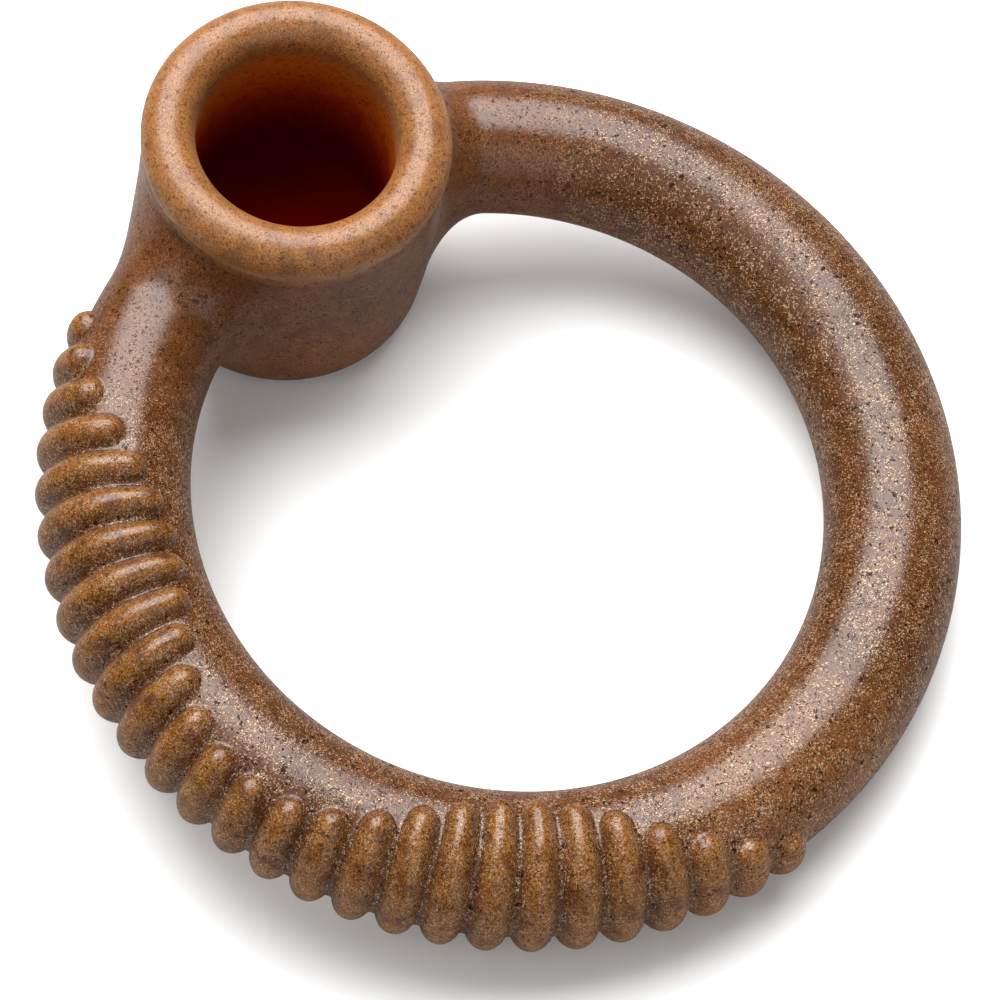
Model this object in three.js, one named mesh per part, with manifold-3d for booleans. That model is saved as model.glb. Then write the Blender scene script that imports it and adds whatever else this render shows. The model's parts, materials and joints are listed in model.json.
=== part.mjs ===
// Dog chew toy: a solid moulded ring with a treat cup grown into it and grip ribs round one half.
// Millimetres, +Z up. It lies on a floor at z = 0 the way it settles by itself, with the cup
// towards +X and the origin under the middle of its bounding box.
//
// The shapes are made in the ring's own frame: ring centre at the origin, ring axis along Z,
// cup axis parallel to it at x = RING_RADIUS. One turned group then lays the toy on the floor.

import * as THREE from "three";
import { ConvexHull } from "three/addons/math/ConvexHull.js";
import { mergeVertices } from "three/addons/utils/BufferGeometryUtils.js";
import Module from "manifold-3d";

const wasm = await Module();
wasm.setup();

// Ring
const RING_RADIUS = 48; // ring centre to the middle of the tube
const TUBE_RADIUS = 8.55;

// Treat cup
const CUP_RADIUS = 19.2; // at the belly of the barrel
const CUP_BELLY = 0.7; // how far the barrel's ends draw in from the belly
const CUP_RISE = 18.9; // top of the lip above the ring's mid plane
const CUP_DROP = 18.8; // base of the cup below the ring's mid plane
const BORE_RADIUS = 12.5; // at the throat and down the well
const LIP_STAND = 0.65; // how far the rolled lip stands out from the top of the barrel
const BASE_ROUND = 5.5; // round between the barrel and the flat base
const FLOOR_THICKNESS = 7;
const WELL_ROUND = 4; // round between the well's wall and its floor

// Necks between the tube and the cup
const NECK_FILLET = 6.5;
const FILLET_FOOT = 0.3; // the fillet's foot is sunk this deep, so that the two skins cross cleanly

// Grip ribs
const RIB_COUNT = 27;
const RIB_PITCH = 4.65; // along the middle line of the tube
const RIB_WIDTH = 4.4; // at the outermost point of the tube
const RIB_HEIGHT = 1.75;
const RIB_TO_NECK = 0.5; // bare tube between the neck and the first rib
const RIB_SEAT = 0.05; // hairline between a rib and the tube it is moulded on

// Wrap of the ribs round the tube: a wave whose reach dies away at both ends of the run
const WRAP_MEAN = THREE.MathUtils.degToRad(109.1);
const WRAP_SWING = THREE.MathUtils.degToRad(39.8);
const WRAP_WAVES = 0.908; // waves in half the run
const WRAP_END_LOSS = THREE.MathUtils.degToRad(41.9);
const WRAP_END_POWER = 1.27;

// Fineness of the facets
const TUBE_SIDES = 28;
const BARE_STEPS = 28;
const NECK_STEPS = 9;
const CUP_SIDES = 48;
const ROUND_STEPS = 4;
const WALL_STEPS = 4;
const LIP_STEPS = 8;
const RIB_ARCH_STEPS = 6;
const RIB_CAP_STEPS = 3;
const RIB_CAP_START = THREE.MathUtils.degToRad(80); // how far round its end a rib's bead begins

// Values that follow from the sizes above
const lipRadius = CUP_RADIUS - CUP_BELLY + LIP_STAND;
const lipRoll = (lipRadius - BORE_RADIUS) / 2;
const lipMiddle = (lipRadius + BORE_RADIUS) / 2;
const lipLevel = CUP_RISE - lipRoll;
const neckEnd = Math.asin((CUP_RADIUS + NECK_FILLET) / RING_RADIUS);
const ribPitchAngle = RIB_PITCH / RING_RADIUS;
const ribHalfAngle = RIB_WIDTH / 2 / (RING_RADIUS + TUBE_RADIUS);
const firstRib = neckEnd + RIB_TO_NECK / RING_RADIUS + ribHalfAngle;

// A closed mesh as a solid that can be joined and cut
function toSolid(geometry) {
  const bare = geometry.clone();
  bare.deleteAttribute("normal");
  bare.deleteAttribute("uv");
  const merged = mergeVertices(bare, 1e-4);
  const mesh = new wasm.Mesh({
    numProp: 3,
    vertProperties: new Float32Array(merged.attributes.position.array),
    triVerts: new Uint32Array(merged.index.array),
  });
  return new wasm.Manifold(mesh);
}

function toGeometry(solid) {
  const mesh = solid.getMesh();
  const geometry = new THREE.BufferGeometry();
  geometry.setAttribute("position", new THREE.BufferAttribute(mesh.vertProperties, 3));
  geometry.setIndex(new THREE.BufferAttribute(mesh.triVerts, 1));
  geometry.computeVertexNormals();
  return geometry;
}

// Closed skin over a row of sections, each a ring of points with the same number of points.
// The first section's points run counter-clockwise seen from the second section.
function loft(sections) {
  const sides = sections[0].length;
  const positions = [];
  const index = [];
  for (const section of sections) {
    for (const point of section) positions.push(point.x, point.y, point.z);
  }
  for (let row = 0; row + 1 < sections.length; row++) {
    for (let side = 0; side < sides; side++) {
      const next = (side + 1) % sides;
      const a = row * sides + side;
      const b = row * sides + next;
      const c = a + sides;
      const d = b + sides;
      index.push(a, b, d, a, d, c);
    }
  }
  for (const [row, outward] of [[0, false], [sections.length - 1, true]]) {
    const middle = positions.length / 3;
    const centre = new THREE.Vector3();
    for (const point of sections[row]) centre.addScaledVector(point, 1 / sides);
    positions.push(centre.x, centre.y, centre.z);
    for (let side = 0; side < sides; side++) {
      const a = row * sides + side;
      const b = row * sides + ((side + 1) % sides);
      if (outward) index.push(middle, a, b);
      else index.push(middle, b, a);
    }
  }
  const geometry = new THREE.BufferGeometry();
  geometry.setAttribute("position", new THREE.Float32BufferAttribute(positions, 3));
  geometry.setIndex(index);
  geometry.computeVertexNormals();
  return geometry;
}

// Point of the ring's section at ringAngle from the cup, reach from the tube's middle,
// turn from the outermost line over the top
function tubePoint(ringAngle, reach, turn) {
  const out = RING_RADIUS + reach * Math.cos(turn);
  return new THREE.Vector3(
    out * Math.cos(ringAngle),
    out * Math.sin(ringAngle),
    reach * Math.sin(turn),
  );
}

function tubeSection(ringAngle, reachAt) {
  const section = [];
  for (let side = 0; side < TUBE_SIDES; side++) {
    const turn = (2 * Math.PI * side) / TUBE_SIDES;
    section.push(tubePoint(ringAngle, reachAt(turn), turn));
  }
  return section.reverse();
}

// Bare tube from one neck round to the other.
// Along the ribs its facets change in the valleys, so that each rib stands on one row of them.
function ringTube() {
  const angles = [neckEnd];
  for (let number = 0; number < RIB_COUNT; number++) {
    angles.push(firstRib + ribPitchAngle * (number + 0.5));
  }
  const bareStart = angles.at(-1);
  const bareEnd = 2 * Math.PI - neckEnd;
  for (let step = 1; step <= BARE_STEPS; step++) {
    angles.push(THREE.MathUtils.lerp(bareStart, bareEnd, step / BARE_STEPS));
  }
  return loft(angles.map((ringAngle) => tubeSection(ringAngle, () => TUBE_RADIUS)));
}

// Radius of the barrel's outside at a height from the ring's mid plane
function barrelRadius(height) {
  const share = height / lipLevel;
  return CUP_RADIUS - CUP_BELLY * Math.min(share * share, 1.6);
}

function arc(x, y, radius, from, to, steps) {
  return new THREE.ArcCurve(x, y, radius, from, to, to < from).getPoints(steps);
}

// Half outline of the barrel and its lip, from the axis at the base to the axis at the top
function barrelOutline() {
  const roundTop = BASE_ROUND - CUP_DROP;
  const baseEdge = barrelRadius(roundTop) - BASE_ROUND;
  const creaseAngle = -Math.acos((barrelRadius(lipLevel) - lipMiddle) / lipRoll);
  const creaseLevel = lipLevel + lipRoll * Math.sin(creaseAngle);
  const wall = [];
  for (let step = 1; step < WALL_STEPS; step++) {
    const height = THREE.MathUtils.lerp(roundTop, creaseLevel, step / WALL_STEPS);
    wall.push(new THREE.Vector2(barrelRadius(height), height));
  }
  return [
    new THREE.Vector2(0, -CUP_DROP),
    ...arc(baseEdge, roundTop, BASE_ROUND, -Math.PI / 2, 0, ROUND_STEPS),
    ...wall,
    ...arc(lipMiddle, lipLevel, lipRoll, creaseAngle, Math.PI / 2, LIP_STEPS),
    new THREE.Vector2(0, CUP_RISE),
  ];
}

// Half outline of the well: floor, its round, straight wall and the inner half of the lip
function wellOutline() {
  const floorLevel = FLOOR_THICKNESS - CUP_DROP;
  const floorEdge = BORE_RADIUS - WELL_ROUND;
  const above = CUP_RISE + lipRoll;
  return [
    new THREE.Vector2(0, floorLevel),
    ...arc(floorEdge, floorLevel + WELL_ROUND, WELL_ROUND, -Math.PI / 2, 0, ROUND_STEPS),
    ...arc(lipMiddle, lipLevel, lipRoll, Math.PI, Math.PI / 2, LIP_STEPS),
    new THREE.Vector2(lipMiddle, above),
    new THREE.Vector2(0, above),
  ];
}

function revolve(outline) {
  const geometry = new THREE.LatheGeometry(outline, CUP_SIDES);
  geometry.rotateX(Math.PI / 2);
  geometry.translate(RING_RADIUS, 0, 0);
  return toSolid(geometry);
}

// Distance from the barrel's skin, sunk by FILLET_FOOT: below zero inside
function barrelDistance(point) {
  const fromAxis = Math.hypot(point.x - RING_RADIUS, point.y);
  const top = lipLevel;
  const half = (top + CUP_DROP) / 2;
  const beside = fromAxis - (barrelRadius(point.z) - BASE_ROUND);
  const beyond = Math.abs(point.z - (top - half)) - (half - BASE_ROUND);
  const outside = Math.hypot(Math.max(beside, 0), Math.max(beyond, 0));
  return outside + Math.min(Math.max(beside, beyond), 0) - BASE_ROUND + FILLET_FOOT;
}

// Skin of the round fillet between barrel and tube: below zero inside
function neckDistance(point, fromTube) {
  const toBarrel = Math.max(NECK_FILLET - barrelDistance(point), 0);
  const toTube = Math.max(NECK_FILLET - fromTube, 0);
  const apart = Math.min(barrelDistance(point), fromTube);
  return Math.max(NECK_FILLET, apart) - Math.hypot(toBarrel, toTube);
}

// How far the neck reaches from the tube's middle line in one direction of one section
function neckReach(ringAngle, turn) {
  const most = TUBE_RADIUS + NECK_FILLET;
  const skin = (reach) => neckDistance(tubePoint(ringAngle, reach, turn), reach - TUBE_RADIUS);
  if (skin(most) <= 0) return most;
  let inside = 0;
  let outside = most;
  while (outside - inside > 1e-7) {
    const middle = (inside + outside) / 2;
    if (skin(middle) < 0) inside = middle;
    else outside = middle;
  }
  return inside;
}

// Neck from inside the barrel out to the bare tube, on the side that direction gives
function neck(direction) {
  const root = Math.asin((CUP_RADIUS * 0.5) / RING_RADIUS);
  const sections = [];
  for (let step = 0; step <= NECK_STEPS; step++) {
    const ringAngle = THREE.MathUtils.lerp(root, neckEnd, step / NECK_STEPS) * direction;
    const atTube = step === NECK_STEPS;
    sections.push(tubeSection(ringAngle, (turn) => (atTube ? TUBE_RADIUS : neckReach(ringAngle, turn))));
  }
  if (direction < 0) sections.reverse();
  return toSolid(loft(sections));
}

function treatCup() {
  const barrel = revolve(barrelOutline());
  const well = revolve(wellOutline());
  return toGeometry(barrel.add(neck(1)).add(neck(-1)).subtract(well));
}

// Half angle that a rib wraps round the tube, to the tip of its rounded end
function ribWrap(number) {
  const share = (2 * number) / (RIB_COUNT - 1) - 1;
  const wave = WRAP_SWING * Math.cos(2 * Math.PI * WRAP_WAVES * share);
  return WRAP_MEAN - wave - WRAP_END_LOSS * Math.abs(share) ** WRAP_END_POWER;
}

// One rib: an arched bead that wraps round the outside of the tube and ends round.
// It bends where the tube's own facets do, so that its foot follows them at RIB_SEAT.
function rib(number) {
  const middle = firstRib + ribPitchAngle * number;
  const capAngle = RIB_WIDTH / 2 / TUBE_RADIUS;
  const straight = ribWrap(number) - capAngle;
  const stations = [];
  for (let step = 0; step <= RIB_CAP_STEPS; step++) {
    const cap = RIB_CAP_START * (1 - step / RIB_CAP_STEPS);
    stations.push({ turn: straight + capAngle * Math.sin(cap), size: Math.cos(cap) });
  }
  const tubeStep = (2 * Math.PI) / TUBE_SIDES;
  for (let line = Math.ceil(straight / tubeStep) - 1; line > 0; line--) {
    stations.push({ turn: line * tubeStep, size: 1 });
  }
  const far = stations.map(({ turn, size }) => ({ turn: -turn, size })).reverse();
  const sections = [...stations, { turn: 0, size: 1 }, ...far].map(({ turn, size }) => {
    const section = [];
    for (let step = 0; step <= RIB_ARCH_STEPS; step++) {
      const arch = (Math.PI * step) / RIB_ARCH_STEPS;
      const ringAngle = middle + ribHalfAngle * size * Math.cos(arch);
      const reach = TUBE_RADIUS + RIB_SEAT + (RIB_HEIGHT - RIB_SEAT) * size * Math.sin(arch);
      section.push(tubePoint(ringAngle, reach, turn));
    }
    return section;
  });
  return loft(sections);
}

const NYLON = { roughness: 0.42, metalness: 0 };
const ringNylon = new THREE.MeshStandardMaterial({ color: 0xa5734d, ...NYLON });
const cupNylon = new THREE.MeshStandardMaterial({ color: 0xa86f45, ...NYLON });
const ribNylon = new THREE.MeshStandardMaterial({ color: 0xa06a3c, ...NYLON });

function piece(name, geometry, material) {
  const mesh = new THREE.Mesh(geometry, material.clone());
  mesh.name = name;
  return mesh;
}

const toy = new THREE.Group();
toy.add(piece("ring", ringTube(), ringNylon));
toy.add(piece("treat_cup", treatCup(), cupNylon));
for (let number = 0; number < RIB_COUNT; number++) {
  const name = `rib_${String(number + 1).padStart(2, "0")}`;
  toy.add(piece(name, rib(number), ribNylon));
}

// Lay the toy down on the face of its convex hull that lets its weight come lowest
function settle(group) {
  const points = [];
  for (const mesh of group.children) {
    const position = mesh.geometry.attributes.position;
    for (let i = 0; i < position.count; i++) {
      const point = new THREE.Vector3().fromBufferAttribute(position, i);
      if (point.z < 0) points.push(point);
    }
  }
  const hull = new ConvexHull().setFromPoints(points);
  const weight = new THREE.Vector3();
  let volume = 0;
  for (const mesh of group.children) {
    const { index, attributes } = mesh.geometry;
    const corners = [0, 1, 2].map(() => new THREE.Vector3());
    for (let i = 0; i < index.count; i += 3) {
      corners.forEach((corner, j) => corner.fromBufferAttribute(attributes.position, index.getX(i + j)));
      const slice = corners[0].dot(corners[1].clone().cross(corners[2])) / 6;
      volume += slice;
      for (const corner of corners) weight.addScaledVector(corner, slice / 4);
    }
  }
  weight.divideScalar(volume);
  const heightOver = (face) => face.constant - face.normal.dot(weight);
  const under = hull.faces.filter((face) => face.normal.z < -0.5);
  const rest = under.reduce((best, face) => (heightOver(face) < heightOver(best) ? face : best));
  const up = rest.normal.clone().negate();
  group.quaternion.setFromUnitVectors(up, new THREE.Vector3(0, 0, 1));
}

settle(toy);
toy.updateMatrixWorld(true);
const bounds = new THREE.Box3().setFromObject(toy, true);
const middle = bounds.getCenter(new THREE.Vector3());
toy.position.set(-middle.x, -middle.y, -bounds.min.z);

export default toy;
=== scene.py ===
import json
import logging
import math
from dataclasses import dataclass, field
from enum import Enum

import bmesh
import bpy
import numpy as np
from mathutils import Matrix, Vector


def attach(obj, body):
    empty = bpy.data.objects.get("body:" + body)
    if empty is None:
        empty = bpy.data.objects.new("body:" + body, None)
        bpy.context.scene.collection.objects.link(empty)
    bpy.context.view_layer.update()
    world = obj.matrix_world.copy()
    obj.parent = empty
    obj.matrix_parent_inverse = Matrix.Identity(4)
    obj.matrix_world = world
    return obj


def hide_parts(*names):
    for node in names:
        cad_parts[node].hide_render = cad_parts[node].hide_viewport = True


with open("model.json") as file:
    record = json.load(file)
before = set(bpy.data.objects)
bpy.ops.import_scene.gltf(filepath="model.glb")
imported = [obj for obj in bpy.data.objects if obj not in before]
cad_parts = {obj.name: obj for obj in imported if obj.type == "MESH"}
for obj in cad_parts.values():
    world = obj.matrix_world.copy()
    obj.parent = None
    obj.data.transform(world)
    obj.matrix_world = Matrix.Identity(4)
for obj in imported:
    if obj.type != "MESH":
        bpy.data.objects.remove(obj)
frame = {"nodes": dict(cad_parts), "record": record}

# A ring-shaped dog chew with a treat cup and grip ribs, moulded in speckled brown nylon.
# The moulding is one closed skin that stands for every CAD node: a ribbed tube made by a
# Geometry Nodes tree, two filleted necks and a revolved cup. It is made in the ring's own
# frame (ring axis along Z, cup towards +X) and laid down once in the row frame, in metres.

log = logging.getLogger("ring_chew")

MM = 0.001
PIECE_NAME = "moulded_nylon_ring"

# Points closer than these become one: in the tube's grid, where open skins meet, and in the
# slivers that the cup's joins leave. The last is the shortest edge that is kept.
GRID_MERGE = 0.001 * MM
SEAM_MERGE = 0.002 * MM
SLIVER_MERGE = 0.02 * MM
SHORTEST_EDGE = 0.01 * MM

# Sockets of a Mix node for colours, by number because its other sockets share their names.
MIX_SHARE = 0
MIX_FIRST = 6
MIX_SECOND = 7
MIX_RESULT = 2

Triple = tuple[float, float, float]
Span = tuple[float, float]


class Solver(Enum):
    """Boolean solvers, in the order in which they are tried."""

    MANIFOLD = "MANIFOLD"
    EXACT = "EXACT"


class Joining(Enum):
    """Ways to bring two solids together."""

    UNITE = "UNION"
    CUT_OUT = "DIFFERENCE"


class Region(Enum):
    """Numbers from 0 to 1 that the skin stores at its points for the finish to read."""

    RIB_RISE = "rib_rise"
    WELL_DEPTH = "well_depth"
    LIP = "lip"
    CALM = "calm"


class Value:
    """A socket of a node tree; arithmetic on it adds Math nodes."""

    def __init__(self, nodes: "Nodes", socket: bpy.types.NodeSocket) -> None:
        """Wraps an output socket of the tree that nodes adds to."""
        self.nodes = nodes
        self.socket = socket

    def math(self, operation: str, *others: "Value | float") -> "Value":
        """Adds a Math node that takes this number first."""
        return self.nodes.add("ShaderNodeMath", {"operation": operation}, [self, *others])

    def __add__(self, other: "Value | float") -> "Value":
        """Sum."""
        return self.math("ADD", other)

    __radd__ = __add__

    def __sub__(self, other: "Value | float") -> "Value":
        """Difference."""
        return self.math("SUBTRACT", other)

    def __rsub__(self, other: float) -> "Value":
        """A plain number less this one."""
        return self.nodes.add("ShaderNodeMath", {"operation": "SUBTRACT"}, [other, self])

    def __mul__(self, other: "Value | float") -> "Value":
        """Product."""
        return self.math("MULTIPLY", other)

    __rmul__ = __mul__

    def __truediv__(self, other: "Value | float") -> "Value":
        """Quotient."""
        return self.math("DIVIDE", other)

    def __pow__(self, other: "Value | float") -> "Value":
        """Power."""
        return self.math("POWER", other)

    def __abs__(self) -> "Value":
        """Size without sign."""
        return self.math("ABSOLUTE")

    def at_least(self, other: "Value | float") -> "Value":
        """The larger of the two."""
        return self.math("MAXIMUM", other)

    def at_most(self, other: "Value | float") -> "Value":
        """The smaller of the two."""
        return self.math("MINIMUM", other)

    def ramp(self, low: float, high: float) -> "Value":
        """Smooth step from 0 at low to 1 at high."""
        ends = {"Value": self, "From Min": low, "From Max": high}
        return self.nodes.add("ShaderNodeMapRange", {"interpolation_type": "SMOOTHSTEP"}, ends)

    def climb(self, start: float, end: float, height: "Value | float") -> "Value":
        """Straight climb from 0 at start to height at end, level before and after it."""
        ends = {"Value": self, "From Min": start, "From Max": end, "To Max": height}
        return self.nodes.add("ShaderNodeMapRange", {"clamp": True}, ends)

    def other_output(self, name: str) -> "Value":
        """Another output of the same node."""
        return Value(self.nodes, self.socket.node.outputs[name])


class Nodes:
    """Adds nodes to one tree, of shaders or of geometry."""

    def __init__(self, tree: bpy.types.NodeTree) -> None:
        """Keeps the tree to add to."""
        self.tree = tree

    def add(
        self,
        kind: str,
        settings: dict | None = None,
        sockets: dict | list | None = None,
        output: int | str | None = 0,
    ) -> Value | None:
        """Adds any node, sets it and fills its sockets.

        Args:
            kind: the node's type.
            settings: its properties, set before its sockets.
            sockets: values or links, by name or number, or a list in order.
            output: which output to return, or None for a node that has none.

        Returns:
            The output, wrapped.
        """
        node = self.tree.nodes.new(kind)
        for name, value in (settings or {}).items():
            setattr(node, name, value)
        pairs = enumerate(sockets) if isinstance(sockets, list) else (sockets or {}).items()
        for key, value in pairs:
            self.fill(node.inputs[key], value)
        return None if output is None else Value(self, node.outputs[output])

    def fill(self, socket: bpy.types.NodeSocket, value: object) -> None:
        """Links a wrapped output to a socket, or sets the socket to a plain value.

        Args:
            socket: the input to fill.
            value: a Value or a plain value; a colour has three numbers.
        """
        if isinstance(value, Value):
            self.tree.links.new(value.socket, socket)
        elif isinstance(value, tuple) and socket.type == "RGBA":
            socket.default_value = (*value, 1.0)
        else:
            socket.default_value = value

    def vector(self, operation: str, first: Value, second: Value | Triple) -> Value:
        """Vector Math on two vectors."""
        return self.add("ShaderNodeVectorMath", {"operation": operation}, [first, second])

    def mix(self, first: Value | Triple, second: Value | Triple, share: Value | float) -> Value:
        """Colour that goes from the first to the second as the share goes from 0 to 1."""
        sockets = {MIX_SHARE: share, MIX_FIRST: first, MIX_SECOND: second}
        return self.add("ShaderNodeMix", {"data_type": "RGBA"}, sockets, MIX_RESULT)

    def grey(self, level: Value) -> Value:
        """Grey of a level."""
        return self.add("ShaderNodeCombineColor", sockets=[level, level, level])

    def shaded(self, colour: Value, level: Value) -> Value:
        """Multiplies a colour by a level.

        Args:
            colour: the colour.
            level: 1 to keep it, less to darken it.

        Returns:
            The shaded colour.
        """
        settings = {"data_type": "RGBA", "blend_type": "MULTIPLY"}
        sockets = {MIX_SHARE: 1.0, MIX_FIRST: colour, MIX_SECOND: self.grey(level)}
        return self.add("ShaderNodeMix", settings, sockets, MIX_RESULT)

    def noise(self, place: Value, scale: float, detail: float) -> Value:
        """Soft noise between about 0.2 and 0.8, with so many features per unit and octaves."""
        sockets = {"Vector": place, "Scale": scale, "Detail": detail}
        return self.add("ShaderNodeTexNoise", sockets=sockets)

    def cells(self, place: Value, scale: float) -> tuple[Value, Value]:
        """Cells round scattered points.

        Args:
            place: where.
            scale: cells per unit.

        Returns:
            Distance to the cell's point, and a random number of the cell.
        """
        near = self.add("ShaderNodeTexVoronoi", sockets={"Vector": place, "Scale": scale})
        kind = self.add("ShaderNodeSeparateColor", sockets=[near.other_output("Color")])
        return near, kind

    def stored_number(self, region: Region) -> Value:
        """The number that the skin stores at its points for a region."""
        return self.add("ShaderNodeAttribute", {"attribute_name": region.value}, output="Fac")


def blank_material(name: str) -> tuple[bpy.types.Material, Nodes]:
    """A new material without nodes.

    Args:
        name: its name.

    Returns:
        The material, and the builder of its tree.
    """
    material = bpy.data.materials.new(name)
    material.use_nodes = True
    material.node_tree.nodes.clear()
    return material, Nodes(material.node_tree)


def added(name: str, data: bpy.types.ID) -> bpy.types.Object:
    """A new object of the scene.

    Args:
        name: its name.
        data: its mesh, light or camera.

    Returns:
        The object.
    """
    thing = bpy.data.objects.new(name, data)
    bpy.context.scene.collection.objects.link(thing)
    return thing


def linked_mesh(name: str, points: np.ndarray, faces: list[tuple[int, ...]]) -> bpy.types.Object:
    """A new object of the scene from points and faces.

    Args:
        name: its name.
        points: one point a row.
        faces: tuples of point numbers.

    Returns:
        The object.
    """
    mesh = bpy.data.meshes.new(name)
    mesh.from_pydata(points.tolist(), [], faces)
    mesh.validate()
    return added(name, mesh)


def skin_faces(rows: int, around: int) -> list[tuple[int, ...]]:
    """Quads between closed rows of points, one row after another.

    Args:
        rows: how many rows there are.
        around: points in each row.

    Returns:
        The faces.
    """
    faces = []
    for row in range(rows - 1):
        base, above = row * around, (row + 1) * around
        for side in range(around):
            following = (side + 1) % around
            faces.append((base + side, base + following, above + following, above + side))
    return faces


def evaluated(thing: bpy.types.Object) -> bpy.types.Mesh:
    """Plain mesh of an object with its modifiers applied."""
    graph = bpy.context.evaluated_depsgraph_get()
    return bpy.data.meshes.new_from_object(thing.evaluated_get(graph))


def open_edges(mesh: bpy.types.Mesh) -> int:
    """Counts the edges that don't join exactly two faces.

    Args:
        mesh: the mesh.

    Returns:
        How many there are.
    """
    work = bmesh.new()
    work.from_mesh(mesh)
    count = sum(1 for edge in work.edges if len(edge.link_faces) != 2)
    work.free()
    return count


def joined(name: str, things: list[bpy.types.Object]) -> bpy.types.Object:
    """Joins open skins that share edges into one closed skin.

    Args:
        name: the new object's name.
        things: the skins; they are used up.

    Returns:
        The closed skin, facing outward.
    """
    work = bmesh.new()
    for thing in things:
        work.from_mesh(thing.data)
        bpy.data.objects.remove(thing)
    bmesh.ops.remove_doubles(work, verts=work.verts, dist=SEAM_MERGE)
    bmesh.ops.recalc_face_normals(work, faces=work.faces)
    mesh = bpy.data.meshes.new(name)
    work.to_mesh(mesh)
    work.free()
    return added(name, mesh)


def combined(
    thing: bpy.types.Object, tool: bpy.types.Object, joining: Joining
) -> bpy.types.Object:
    """Unites a solid with another or cuts it out, by the first solver that gives a closed skin.

    Args:
        thing: the solid that is changed.
        tool: the other solid; it is used up.
        joining: which of the two.

    Returns:
        The changed solid.
    """
    for solver in Solver:
        modifier = thing.modifiers.new("joining", "BOOLEAN")
        modifier.object = tool
        modifier.operation = joining.value
        modifier.solver = solver.value
        mesh = evaluated(thing)
        thing.modifiers.remove(modifier)
        if open_edges(mesh) == 0 and len(mesh.polygons):
            break
        log.warning("%s left %d open edges in %s", solver.value, open_edges(mesh), joining.value)
    thing.data = mesh
    bpy.data.objects.remove(tool)
    return thing


@dataclass(frozen=True)
class RestPose:
    """How the ring's own frame lies in the row frame, read from the cup's flat base."""

    up: Vector
    base: Vector

    @classmethod
    def from_record(cls, record: dict) -> "RestPose":
        """Reads the ring's axis and the place of the cup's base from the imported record."""
        mount = next(m for m in record["mounts"] if m["name"] == "cup_base")
        return cls(up=-Vector(mount["axis"]).normalized(), base=Vector(mount["pos_m"]))

    def matrix(self, base_in_ring: Vector) -> Matrix:
        """Transform from the ring's frame to the row frame, with the cup's base in its place."""
        turn = Vector((0, 0, 1)).rotation_difference(self.up).to_matrix().to_4x4()
        return Matrix.Translation(self.base - turn @ base_in_ring) @ turn


@dataclass(frozen=True)
class TubeGrid:
    """How finely the tube's skin is divided; finer where ribs stand or end."""

    columns_per_rib: int = 14
    bare_columns: int = 74
    outer_turn: float = math.radians(25)
    inner_turn: float = math.radians(130)
    outer_rows: int = 5
    rib_rows: int = 48
    inner_rows: int = 10

    @property
    def half_rows(self) -> int:
        """Steps from the outermost line of the tube to the innermost."""
        return self.outer_rows + self.rib_rows + self.inner_rows

    def turns(self) -> np.ndarray:
        """Angles round the tube from -180 to below 180 degrees, one for each row of points."""
        half = np.concatenate([
            np.linspace(0, self.outer_turn, self.outer_rows, endpoint=False),
            np.linspace(self.outer_turn, self.inner_turn, self.rib_rows, endpoint=False),
            np.linspace(self.inner_turn, math.pi, self.inner_rows, endpoint=False),
        ])
        return np.concatenate([[-math.pi], -half[:0:-1], half])


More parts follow.
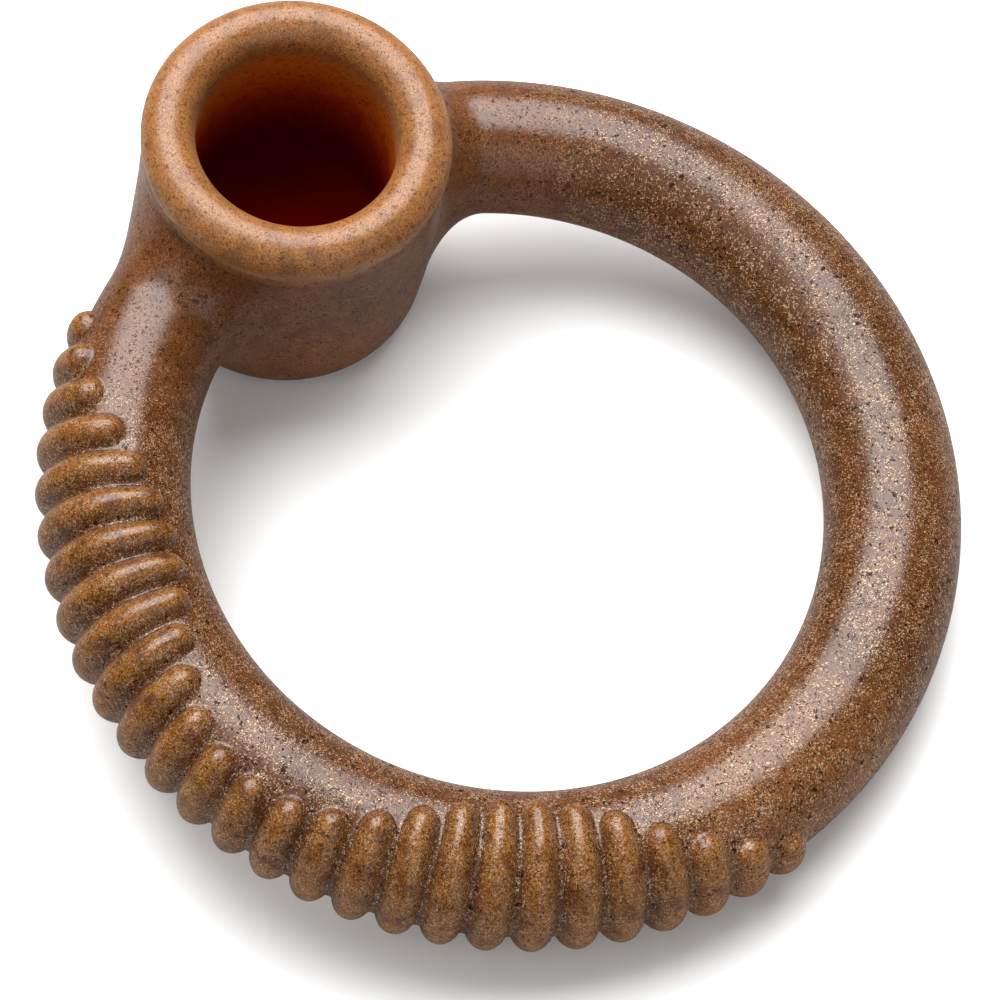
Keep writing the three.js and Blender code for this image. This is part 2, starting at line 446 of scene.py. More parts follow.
@dataclass
class RibbedTube:
    """The ring's tube from one neck round to the other, with its wave of grip ribs."""

    ring_radius: float = 48 * MM
    tube_radius: float = 8.55 * MM
    rib_count: int = 27
    rib_pitch: float = 4.65 * MM
    rib_width: float = 4.7 * MM
    rib_height: float = 1.75 * MM
    rib_to_neck: float = 0.38 * MM
    rib_crown: float = 1.12
    rib_foot: float = 0.14
    wrap_mean: float = math.radians(109.1)
    wrap_swing: float = math.radians(39.8)
    wrap_waves: float = 0.908
    end_loss: float = math.radians(41.9)
    end_power: float = 1.27
    grid: TubeGrid = field(default_factory=TubeGrid)

    def half_angle(self) -> float:
        """Half of a rib's width as an angle about the ring's axis."""
        return self.rib_width / 2 / (self.ring_radius + self.tube_radius)

    def inputs(self, start: float) -> dict[str, float]:
        """The tree's named inputs and their values.

        Args:
            start: angle from the cup at which the bare tube starts.

        Returns:
            Name and value of each number.
        """
        return {
            "Ring Radius": self.ring_radius,
            "Tube Radius": self.tube_radius,
            "Start Angle": start,
            "First Rib": start + self.rib_to_neck / self.ring_radius + self.half_angle(),
            "Rib Pitch": self.rib_pitch / self.ring_radius,
            "Rib Count": float(self.rib_count),
            "Rib Half Angle": self.half_angle(),
            "Rib Cap Angle": self.rib_width / 2 / self.tube_radius,
            "Rib Height": self.rib_height,
            "Rib Crown": self.rib_crown,
            "Rib Foot": self.rib_foot,
            "Wrap Mean": self.wrap_mean,
            "Wrap Swing": self.wrap_swing,
            "Wrap Waves": self.wrap_waves,
            "End Loss": self.end_loss,
            "End Power": self.end_power,
        }

    def tree(self, start: float) -> bpy.types.NodeTree:
        """Builds the Geometry Nodes tree that makes the ribbed tube from its named inputs.

        Args:
            start: angle from the cup at which the bare tube starts.

        Returns:
            The tree.
        """
        tree = bpy.data.node_groups.new("ribbed_tube", "GeometryNodeTree")
        names = list(self.inputs(start))
        for name in names:
            tree.interface.new_socket(name, in_out="INPUT", socket_type="NodeSocketFloat")
        tree.interface.new_socket("Nylon", in_out="INPUT", socket_type="NodeSocketMaterial")
        tree.interface.new_socket("Geometry", in_out="OUTPUT", socket_type="NodeSocketGeometry")
        nodes = Nodes(tree)
        given = nodes.add("NodeGroupInput")
        size = {name: given.other_output(name) for name in names}
        theta, turn = self.angles(nodes, size)
        reach = size["Tube Radius"] + size["Rib Height"] * self.rib_rise(size, theta, turn)
        out = size["Ring Radius"] + reach * turn.math("COSINE")
        place = nodes.add("ShaderNodeCombineXYZ", sockets=[
            out * theta.math("COSINE"),
            out * theta.math("SINE"),
            reach * turn.math("SINE"),
        ])
        columns = self.rib_count * self.grid.columns_per_rib + self.grid.bare_columns + 1
        rows = 2 * self.grid.half_rows + 1
        sheet = nodes.add("GeometryNodeMeshGrid", sockets=[1.0, 1.0, columns, rows])
        bent = nodes.add("GeometryNodeSetPosition", sockets={"Geometry": sheet, "Position": place})
        closed = nodes.add("GeometryNodeMergeByDistance", sockets={
            "Geometry": bent,
            "Distance": GRID_MERGE,
        })
        real = nodes.add("GeometryNodeRealizeInstances", sockets={"Geometry": closed})
        dressed = nodes.add("GeometryNodeSetMaterial", sockets={
            "Geometry": real,
            "Material": given.other_output("Nylon"),
        })
        nodes.add("NodeGroupOutput", sockets={"Geometry": dressed}, output=None)
        return tree

    def angles(self, nodes: Nodes, size: dict[str, Value]) -> tuple[Value, Value]:
        """Angles of each grid point: about the ring from the cup, and round the tube.

        Args:
            nodes: the tree's builder.
            size: the tree's inputs.

        Returns:
            The two angles.
        """
        grid = self.grid
        flat = nodes.add("ShaderNodeSeparateXYZ", sockets=[nodes.add("GeometryNodeInputPosition")])
        along = flat + 0.5
        across = flat.other_output("Y") * 2
        rib_columns = self.rib_count * grid.columns_per_rib
        share = rib_columns / (rib_columns + grid.bare_columns)
        rib_end = size["First Rib"] + size["Rib Pitch"] * (size["Rib Count"] - 0.5)
        ribbed = rib_end - size["Start Angle"]
        bare = 2 * math.pi - 2 * size["Start Angle"] - ribbed
        theta = size["Start Angle"] + along.climb(0.0, share, ribbed) + along.climb(share, 1.0, bare)
        outer = grid.outer_rows / grid.half_rows
        inner = (grid.outer_rows + grid.rib_rows) / grid.half_rows
        far = abs(across)
        turn = (
            far.climb(0.0, outer, grid.outer_turn)
            + far.climb(outer, inner, grid.inner_turn - grid.outer_turn)
            + far.climb(inner, 1.0, math.pi - grid.inner_turn)
        )
        return theta, turn * across.math("SIGN")

    @staticmethod
    def rib_rise(size: dict[str, Value], theta: Value, turn: Value) -> Value:
        """Height of the nearest rib at a point of the tube, as a share of a rib's height.

        Args:
            size: the tree's inputs.
            theta: angle about the ring.
            turn: angle round the tube.

        Returns:
            0 on the bare tube, 1 along a rib's crest.
        """
        last = size["Rib Count"] - 1
        nearest = ((theta - size["First Rib"]) / size["Rib Pitch"]).math("ROUND")
        number = nearest.at_least(0.0).at_most(last)
        share = number * 2 / last - 1
        wave = size["Wrap Swing"] * (share * size["Wrap Waves"] * 2 * math.pi).math("COSINE")
        reach = size["Wrap Mean"] - wave - size["End Loss"] * abs(share) ** size["End Power"]
        straight = reach - size["Rib Cap Angle"]
        beside = abs(theta - size["First Rib"] - number * size["Rib Pitch"]) / size["Rib Half Angle"]
        beyond = (abs(turn) - straight).at_least(0.0) / size["Rib Cap Angle"]
        crown = size["Rib Crown"]
        sunk = (crown * crown - 1).math("SQRT")
        inside = (crown * crown - beside * beside - beyond * beyond).at_least(0.0)
        dome = (inside.math("SQRT") - sunk) / (crown - sunk)
        return dome.math("SMOOTH_MAX", 0.0, size["Rib Foot"])

    def build(self, start: float, nylon: bpy.types.Material) -> bpy.types.Mesh:
        """Makes the ribbed tube's plain mesh in the ring's frame, open at both ends.

        Args:
            start: angle from the cup at which the bare tube starts.
            nylon: the material.

        Returns:
            The mesh.
        """
        tree = self.tree(start)
        carrier = added("ribbed_tube", bpy.data.meshes.new("ribbed_tube_seed"))
        modifier = carrier.modifiers.new("ribbed_tube", "NODES")
        modifier.node_group = tree
        sockets = [item for item in tree.interface.items_tree if item.in_out == "INPUT"]
        identifiers = {item.name: item.identifier for item in sockets}
        for name, value in self.inputs(start).items():
            modifier[identifiers[name]] = value
        modifier[identifiers["Nylon"]] = nylon
        mesh = evaluated(carrier)
        carrier.modifiers.remove(modifier)
        bpy.data.objects.remove(carrier)
        return mesh


@dataclass(frozen=True)
class CupGrid:
    """How finely the cup and its necks are divided."""

    sides: int = 168
    base_steps: int = 16
    wall_points: int = 30
    crease_steps: int = 6
    lip_steps: int = 26
    well_base_steps: int = 12
    well_wall_points: int = 16
    well_lip_steps: int = 16
    neck_steps: int = 44
    neck_halvings: int = 40


@dataclass
class TreatCup:
    """The barrel with its rolled lip, its blind well, and the necks that join it to the tube."""

    belly_radius: float = 19.2 * MM
    belly: float = 0.7 * MM
    belly_limit: float = 1.6
    rise: float = 18.9 * MM
    drop: float = 18.8 * MM
    bore_radius: float = 12.5 * MM
    lip_radius: float = 19.15 * MM
    crease_round: float = 1.6 * MM
    base_round: float = 5.5 * MM
    floor_thickness: float = 7 * MM
    well_round: float = 4 * MM
    neck_root: float = 0.45
    neck_fillet: float = 6.5 * MM
    fillet_foot: float = 0.04 * MM
    grid: CupGrid = field(default_factory=CupGrid)

    @property
    def lip_roll(self) -> float:
        """Radius of the lip's round."""
        return (self.lip_radius - self.bore_radius) / 2

    @property
    def lip_middle(self) -> float:
        """Distance from the cup's axis to the middle of the lip's round."""
        return (self.lip_radius + self.bore_radius) / 2

    @property
    def lip_level(self) -> float:
        """Height of the middle of the lip's round."""
        return self.rise - self.lip_roll

    @property
    def well_floor(self) -> float:
        """Height of the well's floor, below the ring's mid plane."""
        return self.floor_thickness - self.drop

    def neck_end(self, ring_radius: float) -> float:
        """Angle from the cup at which the neck has become the bare tube."""
        return math.asin((self.belly_radius + self.neck_fillet) / ring_radius)

    def barrel_radius(self, height: float | np.ndarray) -> float | np.ndarray:
        """Outside radius of the barrel at a height above the ring's mid plane."""
        share = height / self.lip_level
        return self.belly_radius - self.belly * np.minimum(share * share, self.belly_limit)

    @staticmethod
    def arc(middle: tuple[float, float], radius: float, start: float, end: float, steps: int) -> np.ndarray:
        """Points of an arc about a middle, all as distance from the cup's axis and height."""
        angle = np.linspace(start, end, steps + 1)
        return np.array(middle) + radius * np.stack([np.cos(angle), np.sin(angle)], axis=1)

    def barrel_outline(self) -> np.ndarray:
        """Half outline of the barrel and lip, from the axis at the base to the axis on top.

        Returns:
            The points, one a row.
        """
        round_top = self.base_round - self.drop
        base_edge = self.barrel_radius(round_top) - self.base_round
        wall = self.barrel_radius(self.lip_level)
        crease_x = wall + self.crease_round
        apart = self.lip_roll + self.crease_round
        crease_z = self.lip_level - math.sqrt(apart**2 - (crease_x - self.lip_middle) ** 2)
        meet = math.atan2(self.lip_level - crease_z, self.lip_middle - crease_x)
        heights = np.linspace(round_top, crease_z, self.grid.wall_points)[1:-1]
        base = self.arc((base_edge, round_top), self.base_round, -math.pi / 2, 0, self.grid.base_steps)
        crease = self.arc((crease_x, crease_z), self.crease_round, math.pi, meet, self.grid.crease_steps)
        lip_middle = (self.lip_middle, self.lip_level)
        lip = self.arc(lip_middle, self.lip_roll, meet - math.pi, math.pi / 2, self.grid.lip_steps)
        barrel = np.stack([self.barrel_radius(heights), heights], axis=1)
        return np.concatenate([[[0, -self.drop]], base, barrel, crease, lip[1:], [[0, self.rise]]])

    def well_outline(self) -> np.ndarray:
        """Half outline of the well, from the axis at its floor to the axis above the lip.

        Returns:
            The points, one a row.
        """
        low = (self.bore_radius - self.well_round, self.well_floor + self.well_round)
        base = self.arc(low, self.well_round, -math.pi / 2, 0, self.grid.well_base_steps)
        heights = np.linspace(low[1], self.lip_level, self.grid.well_wall_points)[1:-1]
        wall = np.stack([np.full_like(heights, self.bore_radius), heights], axis=1)
        lip_middle = (self.lip_middle, self.lip_level)
        lip = self.arc(lip_middle, self.lip_roll, math.pi, math.pi / 2, self.grid.well_lip_steps)
        above = self.rise + self.lip_roll
        top = [[self.lip_middle, above], [0, above]]
        return np.concatenate([[[0, self.well_floor]], base, wall, lip, top])

    def revolved(self, name: str, outline: np.ndarray, ring_radius: float) -> bpy.types.Object:
        """Turns a half outline about the cup's axis into a closed solid.

        Args:
            name: the object's name.
            outline: points from the axis to the axis, counter-clockwise round the material.
            ring_radius: distance from the ring's middle to the cup's axis.

        Returns:
            The object.
        """
        sides = self.grid.sides
        angle = np.linspace(0, 2 * math.pi, sides, endpoint=False)
        body = outline[1:-1]
        rings = np.stack([
            ring_radius + body[:, :1] * np.cos(angle),
            body[:, :1] * np.sin(angle),
            np.repeat(body[:, 1:], sides, axis=1),
        ], axis=-1).reshape(-1, 3)
        poles = [[ring_radius, 0, outline[0, 1]], [ring_radius, 0, outline[-1, 1]]]
        faces = skin_faces(len(body), sides)
        low, high = len(rings), len(rings) + 1
        last = (len(body) - 1) * sides
        for side in range(sides):
            following = (side + 1) % sides
            faces.append((low, following, side))
            faces.append((high, last + side, last + following))
        return linked_mesh(name, np.concatenate([rings, poles]), faces)

    def distance_to_barrel(self, point: np.ndarray, ring_radius: float) -> np.ndarray:
        """Distance from the barrel's skin, sunk by the fillet's foot; below zero inside.

        Args:
            point: points, by their last axis.
            ring_radius: distance from the ring's middle to the cup's axis.

        Returns:
            One distance for each point.
        """
        from_axis = np.hypot(point[..., 0] - ring_radius, point[..., 1])
        half = (self.lip_level + self.drop) / 2
        beside = from_axis - (self.barrel_radius(point[..., 2]) - self.base_round)
        beyond = np.abs(point[..., 2] - (self.lip_level - half)) - (half - self.base_round)
        outside = np.hypot(np.maximum(beside, 0), np.maximum(beyond, 0))
        inside = np.minimum(np.maximum(beside, beyond), 0)
        return outside + inside - self.base_round + self.fillet_foot

    def neck_rows(self, tube: RibbedTube, direction: int) -> np.ndarray:
        """Sections of one neck, from inside the barrel to the bare tube.

        The reach of each point from the tube's middle line is found by halving.

        Args:
            tube: the tube that the neck joins.
            direction: 1 towards the ribs, -1 the other way.

        Returns:
            Points by section and by row round the tube.
        """
        end = self.neck_end(tube.ring_radius)
        root = math.asin(self.neck_root * self.belly_radius / tube.ring_radius)
        theta = (np.linspace(root, end, self.grid.neck_steps + 1) * direction)[:, None]
        turn = tube.grid.turns()[None, :]
        fillet = self.neck_fillet

        def place(reach: np.ndarray) -> np.ndarray:
            """Points at a reach from the tube's middle line."""
            out = tube.ring_radius + reach * np.cos(turn)
            return np.stack([out * np.cos(theta), out * np.sin(theta), reach * np.sin(turn)], -1)

        def skin(reach: np.ndarray) -> np.ndarray:
            """Distance from the skin of tube and barrel with the fillet between them.

            Args:
                reach: distance of each point from the tube's middle line.

            Returns:
                One distance for each point, below zero inside.
            """
            barrel = self.distance_to_barrel(place(reach), tube.ring_radius)
            bare = reach - tube.tube_radius
            blend = np.hypot(np.maximum(fillet - barrel, 0), np.maximum(fillet - bare, 0))
            return np.maximum(fillet, np.minimum(barrel, bare)) - blend

        low = np.zeros((theta.shape[0], turn.shape[1]))
        most = np.full_like(low, tube.tube_radius + fillet)
        high = most
        for _ in range(self.grid.neck_halvings):
            middle = (low + high) / 2
            within = skin(middle) < 0
            low = np.where(within, middle, low)
            high = np.where(within, high, middle)
        reach = np.where(skin(most) <= 0, most, low)
        reach[-1] = tube.tube_radius
        return place(reach)

    def neck(self, tube: RibbedTube, direction: int) -> bpy.types.Object:
        """One neck as a skin that is closed inside the barrel and open at the bare tube.

        Args:
            tube: the tube that the neck joins.
            direction: 1 towards the ribs, -1 the other way.

        Returns:
            The object.
        """
        rows = self.neck_rows(tube, direction)
        sections, around = rows.shape[:2]
        middle = sections * around
        faces = skin_faces(sections, around)
        faces += [(side, (side + 1) % around, middle) for side in range(around)]
        if direction > 0:
            faces = [face[::-1] for face in faces]
        points = np.concatenate([rows.reshape(-1, 3), rows[0].mean(axis=0, keepdims=True)])
        return linked_mesh("neck", points, faces)


@dataclass
class Moulding:
    """The whole toy as one skin: ribbed tube, necks and treat cup."""

    tube: RibbedTube = field(default_factory=RibbedTube)
    cup: TreatCup = field(default_factory=TreatCup)
    calm_end: float = 46 * MM
    throat_share: float = 0.6
    floor_margin: float = 0.1 * MM
    lip_margin: float = 1 * MM
    lip_fade: float = 0.4

    def build(self, pose: RestPose, nylon: bpy.types.Material) -> bpy.types.Object:
        """Makes the skin, marks its regions and lays it down in the row frame.

        Args:
            pose: how the ring's frame lies in the row frame.
            nylon: the finish.

        Returns:
            The object, at the origin and unturned.
        """
        ring_radius = self.tube.ring_radius
        start = self.cup.neck_end(ring_radius)
        ribbed = added("ribbed_tube", self.tube.build(start, nylon))
        necks = [self.cup.neck(self.tube, direction) for direction in (1, -1)]
        ring = joined(PIECE_NAME, [ribbed, *necks])
        barrel = self.cup.revolved("barrel", self.cup.barrel_outline(), ring_radius)
        well = self.cup.revolved("well", self.cup.well_outline(), ring_radius)
        skin = combined(combined(ring, barrel, Joining.UNITE), well, Joining.CUT_OUT)
        mesh = skin.data
        self.clean(mesh)
        self.mark_regions(mesh)
        mesh.transform(pose.matrix(Vector((ring_radius, 0, -self.cup.drop))))
        mesh.materials.clear()
        mesh.materials.append(nylon)
        mesh.shade_smooth()
        log.info(
            "%s: %d points, %d faces, %d open edges",
            PIECE_NAME, len(mesh.vertices), len(mesh.polygons), open_edges(mesh),
        )
        return skin

    @staticmethod
    def clean(mesh: bpy.types.Mesh) -> None:
        """Melts the slivers that the joins leave and turns every face into triangles.

        Args:
            mesh: the skin.
        """
        work = bmesh.new()
        work.from_mesh(mesh)
        bmesh.ops.remove_doubles(work, verts=work.verts, dist=SLIVER_MERGE)
        bmesh.ops.dissolve_degenerate(work, edges=work.edges, dist=SHORTEST_EDGE)
        bmesh.ops.triangulate(work, faces=work.faces)
        bmesh.ops.recalc_face_normals(work, faces=work.faces)
        work.to_mesh(mesh)
        work.free()

    def mark_regions(self, mesh: bpy.types.Mesh) -> None:
        """Stores each region's number at each point, while the skin is in the ring's frame.

        Args:
            mesh: the skin.
        """
        points = np.empty(len(mesh.vertices) * 3, np.float32)
        mesh.vertices.foreach_get("co", points)
        x, y, z = points.reshape(-1, 3).T
        tube, cup = self.tube, self.cup
        reach = np.hypot(np.hypot(x, y) - tube.ring_radius, z)
        ribbed = np.arctan2(y, x) > cup.neck_end(tube.ring_radius)
        from_axis = np.hypot(x - tube.ring_radius, y)
        throat = cup.lip_level + cup.lip_roll * self.throat_share
        depth = np.clip((throat - z) / (throat - cup.well_floor), 0, 1)
        in_well = (from_axis < cup.lip_middle) & (z > cup.well_floor - self.floor_margin)
        lip = np.clip((z - cup.lip_level + cup.lip_roll) / (self.lip_fade * cup.lip_roll), 0, 1)
        on_lip = from_axis < cup.lip_radius + self.lip_margin
        on_lip &= from_axis > cup.bore_radius - self.lip_margin
        # Rib rise and well depth also place painted glow and painted shade in the finish.
        regions = {
            Region.RIB_RISE: np.clip((reach - tube.tube_radius) / tube.rib_height, 0, 1) * ribbed,
            Region.WELL_DEPTH: np.where(in_well, depth, 0),
            Region.LIP: lip * on_lip,
            Region.CALM: np.clip((self.calm_end - from_axis) / (self.calm_end - cup.belly_radius), 0, 1),
        }
        for region, values in regions.items():
            layer = mesh.attributes.new(region.value, "FLOAT", "POINT")
            layer.data.foreach_set("value", values.astype(np.float32))


@dataclass(frozen=True)
class SkinMarks:
    """What the finish reads over the skin: place in millimetres, four regions, three noises."""

    place: Value
    rise: Value
    well: Value
    lip: Value
    calm: Value
    broad: Value
    cloud: Value
    grain: Value

    @classmethod
    def read(cls, nodes: Nodes) -> "SkinMarks":
        """Adds the nodes that give them.

        Args:
            nodes: the tree's builder.

        Returns:
            The marks.
        """
        metres = nodes.add("ShaderNodeTexCoord", output="Object")
        place = nodes.vector("MULTIPLY", metres, (1 / MM, 1 / MM, 1 / MM))
        return cls(
            place=place,
            rise=nodes.stored_number(Region.RIB_RISE),
            well=nodes.stored_number(Region.WELL_DEPTH),
            lip=nodes.stored_number(Region.LIP),
            calm=nodes.stored_number(Region.CALM),
            broad=nodes.noise(place, scale=0.07, detail=2),
            cloud=nodes.noise(place, scale=0.40, detail=3),
            grain=nodes.noise(place, scale=4.6, detail=1).ramp(0.34, 0.66),
        )


@dataclass(frozen=True)
class PaleFibres:
    """Short pale fibres that lie in every direction; their cell in millimetres, widths in cells."""

    colour: Triple = (0.68, 0.50, 0.32)
    strength: float = 0.62
    turns: tuple[Triple, ...] = ((0.0, 0.3, 0.5), (0.5, 0.2, 1.5), (0.2, 0.8, 2.6), (0.3, 1.4, 0.9))
    cell: Triple = (0.62, 0.13, 0.15)
    empty_cells: float = 0.72
    width: float = 0.47
    edge: float = 0.07
    gathering: float = 0.4
    well_end: float = 0.3
    calm_full: float = 0.7
    calm_loss: float = 0.85
    rib_loss: float = 0.45

    def cover(self, nodes: Nodes, marks: SkinMarks) -> Value:
        """Where the fibres lie: thicker in some clouds, fainter by the cup, none in the well.

        Args:
            nodes: the tree's builder.
            marks: what is read over the skin.

        Returns:
            Up to 1 on a fibre, 0 between them.
        """
        total: Value | float = 0.0
        for turn in self.turns:
            sockets = {"Vector": marks.place, "Rotation": turn, "Scale": self.cell}
            along = nodes.add("ShaderNodeMapping", {"vector_type": "TEXTURE"}, sockets)
            near, kind = nodes.cells(along, 1.0)
            gathered = kind + (marks.cloud - 0.5) * self.gathering
            wide = gathered.ramp(self.empty_cells, 1.0) * self.width
            total = (wide - near).ramp(0.0, self.edge) + total
        open_air = 1 - marks.well.ramp(0.0, self.well_end)
        away = 1 - marks.calm.ramp(0.0, self.calm_full) * self.calm_loss
        return total.at_most(1.0) * open_air * (away * (1 - marks.rise * self.rib_loss))


@dataclass(frozen=True)
class SpeckSize:
    """One size of speck: cells per millimetre, share of empty cells, width and edge in cells."""

    per_mm: float
    empty_cells: float
    width: float
    edge: float


@dataclass(frozen=True)
class DarkSpecks:
    """Dark crooked specks, many fine and a few coarse."""

    colour: Triple = (0.014, 0.004, 0.003)
    strength: float = 0.95
    fine: SpeckSize = SpeckSize(3.3, 0.16, 0.52, 0.07)
    middling: SpeckSize = SpeckSize(1.3, 0.36, 0.34, 0.05)
    coarse: SpeckSize = SpeckSize(0.55, 0.52, 0.20, 0.03)
    crooks_per_mm: float = 2.5
    crookedness: float = 1.1
    gathering: float = 0.5
    well_loss: float = 0.45
    calm_loss: float = 0.30
    lip_loss: float = 0.12
    rib_loss: float = 0.25

    def cover(self, nodes: Nodes, marks: SkinMarks) -> Value:
        """Where the specks lie: thicker in some clouds, fainter by the cup, on lip and on ribs.

        Args:
            nodes: the tree's builder.
            marks: what is read over the skin.

        Returns:
            Up to 1 on a speck, 0 between them.
        """
        sockets = {"Vector": marks.place, "Scale": self.crooks_per_mm, "Detail": 1.0}
        rough = nodes.add("ShaderNodeTexNoise", sockets=sockets, output="Color")
        rough = nodes.vector("SUBTRACT", rough, (0.5, 0.5, 0.5))
        rough = nodes.vector("MULTIPLY", rough, (self.crookedness,) * 3)
        crooked = nodes.vector("ADD", marks.place, rough)
        total: Value | float = 0.0
        for size in (self.fine, self.middling, self.coarse):
            near, kind = nodes.cells(crooked, size.per_mm)
            gathered = kind + (marks.cloud - 0.5) * self.gathering
            wide = gathered.ramp(size.empty_cells, 1.0) * size.width
            total = (wide - near).ramp(0.0, size.edge) + total
        kept = 1 - marks.calm * self.calm_loss - marks.lip * self.lip_loss - marks.rise * self.rib_loss
        return total.at_most(1.0) * kept


@dataclass(frozen=True)
class WellShadePaint:
    """A colour painted on the well between two depths, with a cloudy border, as painted light and shade of
    the hole rather than the nylon's own colour.
    """

    colour: Triple
    depths: Span
    cloudy: float


@dataclass(frozen=True)
class SpeckledNylon:
    """Warm brown moulded nylon with pale fibres, dark specks and a satin gloss, and painted light: glowing
    rib crests, a lift by the cup and painted shade down the well.
    """

    amber: Triple = (0.148, 0.048, 0.009)
    umber: Triple = (0.094, 0.027, 0.003)
    painted_crest_glow: Triple = (0.262, 0.102, 0.011)
    honey: Triple = (0.295, 0.117, 0.028)
    # The well is painted: a painted glow just below the throat, then painted shade that deepens to dark red
    # at the floor, where the light falls off in the blind hole.
    painted_well_glow: WellShadePaint = WellShadePaint((0.400, 0.102, 0.007), (0.02, 0.16), 0.0)
    painted_well_dusk: WellShadePaint = WellShadePaint((0.30, 0.030, 0.003), (0.16, 0.56), 0.16)
    painted_well_shade: WellShadePaint = WellShadePaint((0.115, 0.002, 0.001), (0.34, 0.82), 0.16)
    fibres: PaleFibres = PaleFibres()
    specks: DarkSpecks = DarkSpecks()
    amber_clouds: Span = (0.34, 0.64)
    pale_spot: Triple = (-61.0, -4.0, 10.0)
    pale_reach: Span = (7.8, 26.0)
    pale_strength: float = 0.40
    # Painted glow on the rib crests, in clouds; the valleys stay darker as painted shade.
    crest_glow_clouds: Span = (0.25, 0.55)
    crest_glow_strength: float = 0.8
    lip_clouds: Span = (0.30, 0.55)
    lip_cloud_strength: float = 0.45
    lip_strength: float = 0.55
    darkest: float = 0.47
    grain_light: float = 0.70
    calm_grain_loss: float = 0.20
    # Lift of the colour near the cup: partly the calmer, paler nylon there, partly painted fill light.
    painted_fill_by_cup: float = 0.28
    lip_light_loss: float = 0.45
    dull_depths: Span = (0.03, 0.25)
    speck_dullness: float = 0.85
    roughness: float = 0.27
    lip_roughness: float = 0.09
    fibre_metal: float = 0.22
    refraction: float = 1.50
    bloom: float = 0.10
    bloom_roughness: float = 0.45
    bloom_tint: Triple = (1.0, 0.72, 0.54)
    translucence: float = 0.48
    scatter_by_colour: Triple = (1.0, 0.42, 0.16)
    scatter_depth: float = 2.8 * MM
    bump_strength: float = 0.7
    bump_depth: float = 0.03 * MM
    grain_bump: float = 0.25

    def material(self) -> bpy.types.Material:
        """Builds the finish.

        Returns:
            The material.
        """
        nylon, nodes = blank_material("speckled_brown_nylon")
        marks = SkinMarks.read(nodes)
        fibres = self.fibres.cover(nodes, marks)
        specks = self.specks.cover(nodes, marks)
        colour = self.ground(nodes, marks)
        colour = nodes.mix(colour, self.fibres.colour, fibres * self.fibres.strength)
        # Painted light down the well: painted glow near the throat, painted shade deeper in.
        for tint in (self.painted_well_glow, self.painted_well_dusk, self.painted_well_shade):
            depth = marks.well + marks.cloud * tint.cloudy
            colour = nodes.mix(colour, tint.colour, depth.ramp(*tint.depths))
        strength = self.specks.strength - marks.well * self.specks.well_loss
        colour = nodes.mix(colour, self.specks.colour, specks * strength)
        glossy = self.glossy(nodes, marks, colour, fibres, specks)
        dull = nodes.add("ShaderNodeBsdfDiffuse", sockets={"Color": colour})
        dullness = (marks.well.ramp(*self.dull_depths) + specks * self.speck_dullness).at_most(1.0)
        surface = nodes.add("ShaderNodeMixShader", sockets=[dullness, glossy, dull])
        nodes.add("ShaderNodeOutputMaterial", sockets={"Surface": surface}, output=None)
        return nylon

    def ground(self, nodes: Nodes, marks: SkinMarks) -> Value:
        """Colour of the nylon under its fibres and specks, with clouds, grain and painted light.

        Args:
            nodes: the tree's builder.
            marks: what is read over the skin.

        Returns:
            The colour: rib crests painted brighter as painted glow with painted shade in the valleys,
                lifted near the cup partly by painted fill light, paler at one spot of the ring and on the
                lip.
        """
        tone = (marks.broad * 0.5 + marks.cloud * 0.5).ramp(*self.amber_clouds)
        colour = nodes.mix(self.umber, self.amber, tone)
        away = nodes.vector("DISTANCE", marks.place, self.pale_spot).other_output("Value")
        near_spot = 1 - away.ramp(*self.pale_reach)
        colour = nodes.mix(colour, self.honey, near_spot * self.pale_strength)
        # Rib crests are painted brighter and warmer than the valleys: painted glow on the crests, painted
        # shade in the valleys.
        crest_glow_share = marks.rise * self.crest_glow_strength * marks.cloud.ramp(*self.crest_glow_clouds)
        colour = nodes.mix(colour, self.painted_crest_glow, crest_glow_share)
        cloudy = marks.cloud.ramp(*self.lip_clouds) * self.lip_cloud_strength
        colour = nodes.mix(colour, self.honey, marks.lip * (cloudy + self.lip_strength))
        grain = marks.grain * self.grain_light * (1 - marks.calm * self.calm_grain_loss)
        # Near the cup the colour is lifted, partly as paler nylon and partly as painted fill light; the lip
        # takes less of it.
        calm = (marks.calm - marks.lip * self.lip_light_loss) * self.painted_fill_by_cup
        return nodes.shaded(colour, grain + calm + self.darkest)

    def glossy(self, nodes: Nodes, marks: SkinMarks, colour: Value, fibres: Value, specks: Value) -> Value:
        """Satin plastic that lets light in a little way.

        Args:
            nodes: the tree's builder.
            marks: what is read over the skin.
            colour: the finished colour.
            fibres: where fibres lie, which glint and stand a little proud.
            specks: where specks lie, which don't glint.

        Returns:
            The shader.
        """
        bump = nodes.add("ShaderNodeBump", sockets={
            "Strength": self.bump_strength,
            "Distance": self.bump_depth,
            "Height": marks.grain * self.grain_bump * (1 - marks.lip) + fibres,
        })
        return nodes.add("ShaderNodeBsdfPrincipled", sockets={
            "Base Color": colour,
            "Metallic": fibres * self.fibre_metal * (1 - specks),
            "Roughness": self.roughness + marks.lip * self.lip_roughness,
            "IOR": self.refraction,
            "Sheen Weight": self.bloom,
            "Sheen Roughness": self.bloom_roughness,
            "Sheen Tint": self.bloom_tint,
            "Subsurface Weight": self.translucence,
            "Subsurface Radius": self.scatter_by_colour,
            "Subsurface Scale": self.scatter_depth,
            "Normal": bump,
        })


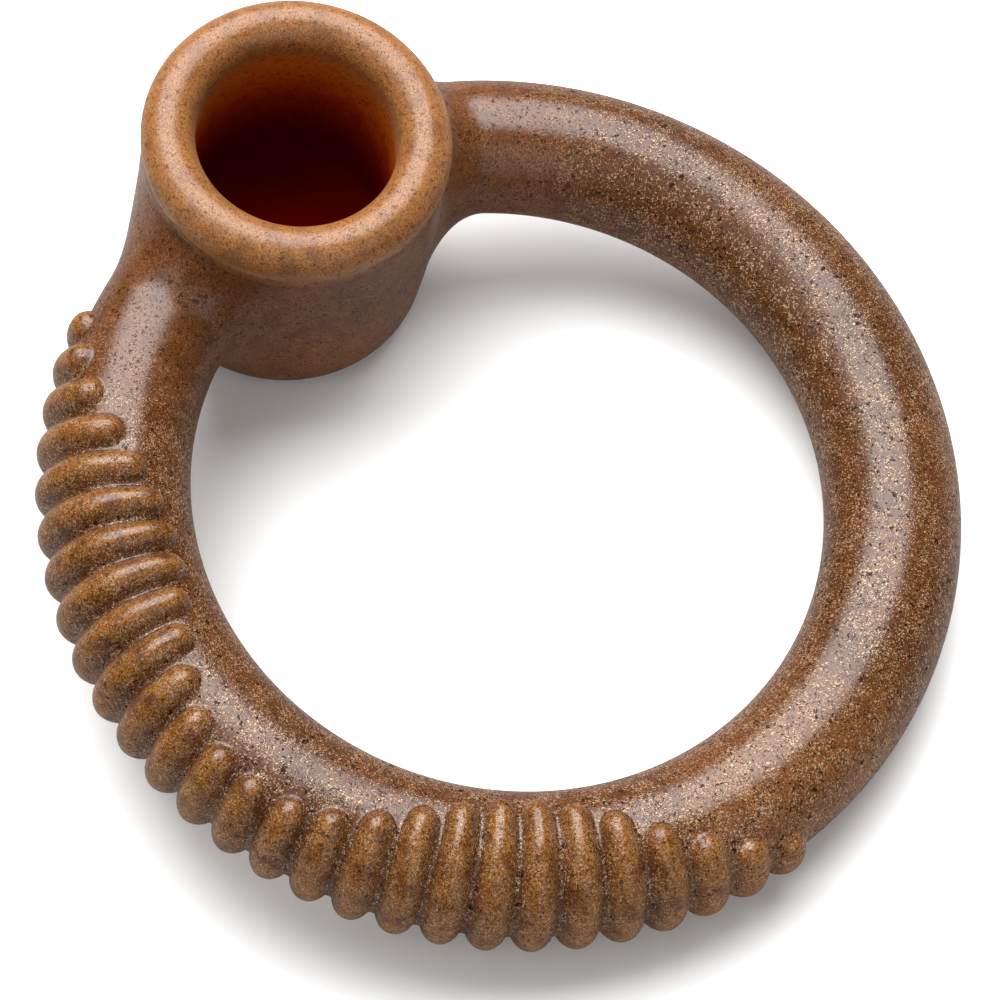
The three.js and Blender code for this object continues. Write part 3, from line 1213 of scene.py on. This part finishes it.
@dataclass(frozen=True)
class SoftBox:
    """A square soft light, placed as the picture sees it, in degrees and metres."""

    name: str
    bearing: float
    height: float
    distance: float
    size: float
    radiance: float

    def build(self, picture_up: Vector, picture_right: Vector) -> None:
        """Hangs the light and turns it to the toy.

        Args:
            picture_up: the camera's upward direction.
            picture_right: the camera's rightward direction.
        """
        ahead = Vector((picture_up.x, picture_up.y, 0)).normalized()
        beside = Vector((picture_right.x, picture_right.y, 0)).normalized()
        bearing = math.radians(self.bearing)
        height = math.radians(self.height)
        level = ahead * math.cos(bearing) + beside * math.sin(bearing)
        toward = level * math.cos(height) + Vector((0, 0, math.sin(height)))
        lamp = bpy.data.lights.new(self.name, "AREA")
        lamp.shape = "SQUARE"
        lamp.size = self.size
        lamp.energy = self.radiance * math.pi * self.size**2
        box = added(self.name, lamp)
        box.location = toward * self.distance
        box.rotation_mode = "QUATERNION"
        box.rotation_quaternion = toward.to_track_quat("Z", "Y")


@dataclass(frozen=True)
class Studio:
    """White floor, soft light mostly from above and behind, and the camera of the picture."""

    back: SoftBox = SoftBox("back_soft_box", 352.0, 59.0, 0.80, 0.86, 7.1)
    side: SoftBox = SoftBox("side_soft_box", 262.0, 62.0, 0.90, 0.90, 1.0)
    front: SoftBox = SoftBox("front_soft_box", 155.0, 36.0, 0.90, 0.90, 0.9)
    surround: float = 0.12
    floor_half: float = 3.0
    floor_white: float = 0.95
    floor_gloss: float = 0.26
    floor_seen: float = 1.02
    camera_place: Triple = (-0.150331, 0.112721, 0.381928)
    camera_forward: Triple = (0.35373, -0.27641, -0.89358)
    camera_up: Triple = (0.71971, -0.52974, 0.44877)
    nearest_seen: float = 0.01
    sensor_mm: float = 36.0
    focal_px: float = 3327.73
    centre_px: tuple[float, float] = (511.50, 489.53)
    image_px: float = 1000.0

    def build(self) -> None:
        """Adds floor, light and camera to the scene, and shows colours as they are."""
        self.floor()
        self.light()
        self.camera()
        bpy.context.scene.view_settings.view_transform = "Standard"

    def floor(self) -> None:
        """Lays the floor: white to the camera and to the toy's matt side, darker in its gloss."""
        paint, nodes = blank_material("white_floor")
        seen = nodes.add("ShaderNodeLightPath", output="Is Camera Ray")
        gloss = seen.other_output("Is Glossy Ray")
        bright = seen * (self.floor_seen - self.floor_white) + self.floor_white
        bright = bright - gloss * (self.floor_white - self.floor_gloss)
        surface = nodes.add("ShaderNodeBsdfDiffuse", sockets={"Color": nodes.grey(bright)})
        nodes.add("ShaderNodeOutputMaterial", sockets={"Surface": surface}, output=None)
        half = self.floor_half
        points = np.array([[-half, -half, 0], [half, -half, 0], [half, half, 0], [-half, half, 0]])
        floor = linked_mesh("floor", points, [(0, 1, 2, 3)])
        floor.data.materials.append(paint)

    def light(self) -> None:
        """Hangs the soft boxes and lights the surround."""
        up = Vector(self.camera_up)
        right = Vector(self.camera_forward).cross(up).normalized()
        for box in (self.back, self.side, self.front):
            box.build(up, right)
        world = bpy.data.worlds.new("surround")
        world.use_nodes = True
        background = world.node_tree.nodes["Background"]
        background.inputs["Color"].default_value = (1, 1, 1, 1)
        background.inputs["Strength"].default_value = self.surround
        bpy.context.scene.world = world

    def camera(self) -> None:
        """Places the camera as in the picture."""
        data = bpy.data.cameras.new("camera")
        data.sensor_width = self.sensor_mm
        data.lens = self.focal_px / self.image_px * self.sensor_mm
        data.shift_x = (self.image_px / 2 - self.centre_px[0]) / self.image_px
        data.shift_y = (self.centre_px[1] - self.image_px / 2) / self.image_px
        data.clip_start = self.nearest_seen
        camera = added("camera", data)
        forward = Vector(self.camera_forward).normalized()
        right = forward.cross(Vector(self.camera_up)).normalized()
        up = right.cross(forward)
        turn = Matrix((right, up, -forward)).transposed().to_4x4()
        camera.matrix_world = Matrix.Translation(self.camera_place) @ turn
        bpy.context.scene.camera = camera


def main() -> None:
    """Builds the toy, its finish, the floor, the light and the camera."""
    logging.basicConfig(level=logging.INFO)
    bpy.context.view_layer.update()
    nylon = SpeckledNylon().material()
    skin = Moulding().build(RestPose.from_record(frame["record"]), nylon)
    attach(skin, "root")
    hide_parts(*sorted(frame["nodes"]))
    Studio().build()


if __name__ == "__main__":
    main()
